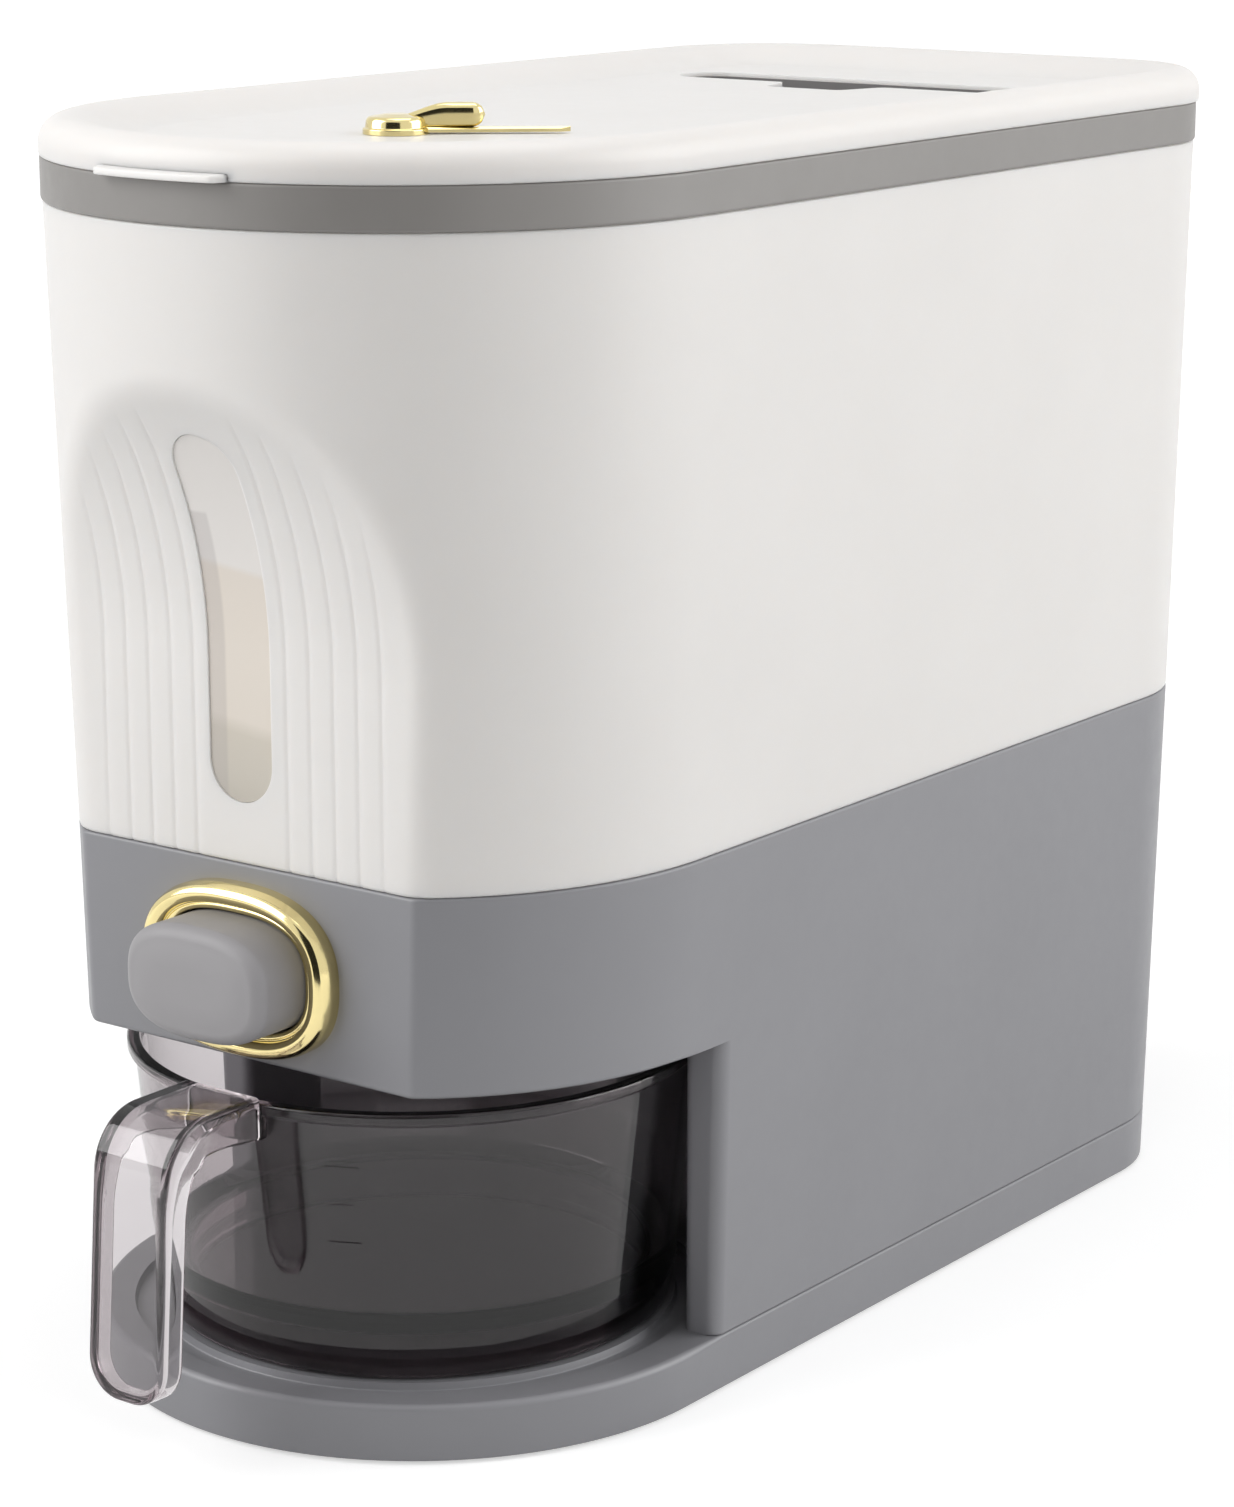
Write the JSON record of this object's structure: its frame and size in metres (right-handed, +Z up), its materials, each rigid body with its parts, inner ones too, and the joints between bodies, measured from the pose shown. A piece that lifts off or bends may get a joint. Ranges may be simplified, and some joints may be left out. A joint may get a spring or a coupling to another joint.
{
  "type": "rice dispenser",
  "caption": "Tall grain dispenser with a hinged lid, a flat fluted front with a window, a push-button shutter and a pull-out measuring cup under the overhang.",
  "frame": {"origin": "on the floor under the middle of the overall box", "axes": "+X to the right seen from the front, +Y to the back, +Z up; the cup and button face -Y"},
  "size_m": [0.2056, 0.4458, 0.3714],
  "materials": {
    "white_plastic": "satin moulded white",
    "grey_plastic": "fine satin grey",
    "dark_plastic": "plain dark grey, unseen side",
    "clear_window": "clear moulded window",
    "smoked_clear": "smoked transparent plastic",
    "cream_plastic": "natural cream inner plastic",
    "gold_trim": "bright gold plating",
    "button_plastic": "soft-touch grey",
    "rubber_foot": "matte",
    "silicone_seal": "silicone",
    "spring_steel": "bright wire",
    "steel_pin": "ground pin"
  },
  "bodies": {
    "frame": {"base_plate": "grey_plastic", "bottom_cover": "dark_plastic", "foot_front_left": "rubber_foot", "foot_front_right": "rubber_foot", "foot_back_left": "rubber_foot", "foot_back_right": "rubber_foot", "lower_housing": "grey_plastic", "hopper_shell": "white_plastic", "window_lens": "clear_window", "collar_band": "grey_plastic", "hinge_pin_left": "steel_pin", "hinge_pin_right": "steel_pin", "hopper_funnel": "cream_plastic", "gate_guide": "dark_plastic", "outlet_chute": "dark_plastic", "button_ring": "gold_trim", "return_spring": "spring_steel"},
    "button": {"button_cap": "button_plastic", "gate_plate": "dark_plastic"},
    "lid": {"lid_shell": "white_plastic", "lid_gasket": "silicone_seal", "moisture_tray": "grey_plastic", "dial_spindle": "steel_pin"},
    "moisture_lift": {"moisture_cover": "grey_plastic"},
    "pointer": {"dial_pointer": "gold_trim"},
    "cup": {"cup_bowl": "smoked_clear", "cup_handle": "smoked_clear"}
  },
  "joints": [
    {"name": "lid_hinge", "type": "hinge", "parent": "frame", "child": "lid", "pos_m": [0, 0.2187, 0.3526], "axis": [-1, 0, 0], "range_deg": [0, 95]},
    {"name": "pointer_turn", "type": "hinge", "parent": "lid", "child": "pointer", "pos_m": [0, -0.0979, 0.363], "axis": [0, 0, 1], "continuous": true},
    {"name": "moisture_cover_lift", "type": "slide", "parent": "lid", "child": "moisture_lift", "axis": [0, 0, 1], "range_m": [0, 0.03]},
    {"name": "button_press", "type": "slide", "parent": "frame", "child": "button", "axis": [0, 1, 0], "range_m": [0, 0.012], "stiffness_N_per_m": 150, "springref_m": -0.006, "deforming": ["return_spring"]},
    {"name": "cup_slide", "type": "slide", "parent": "frame", "child": "cup", "axis": [0, -1, 0], "range_m": [0, 0.24]}
  ]
}
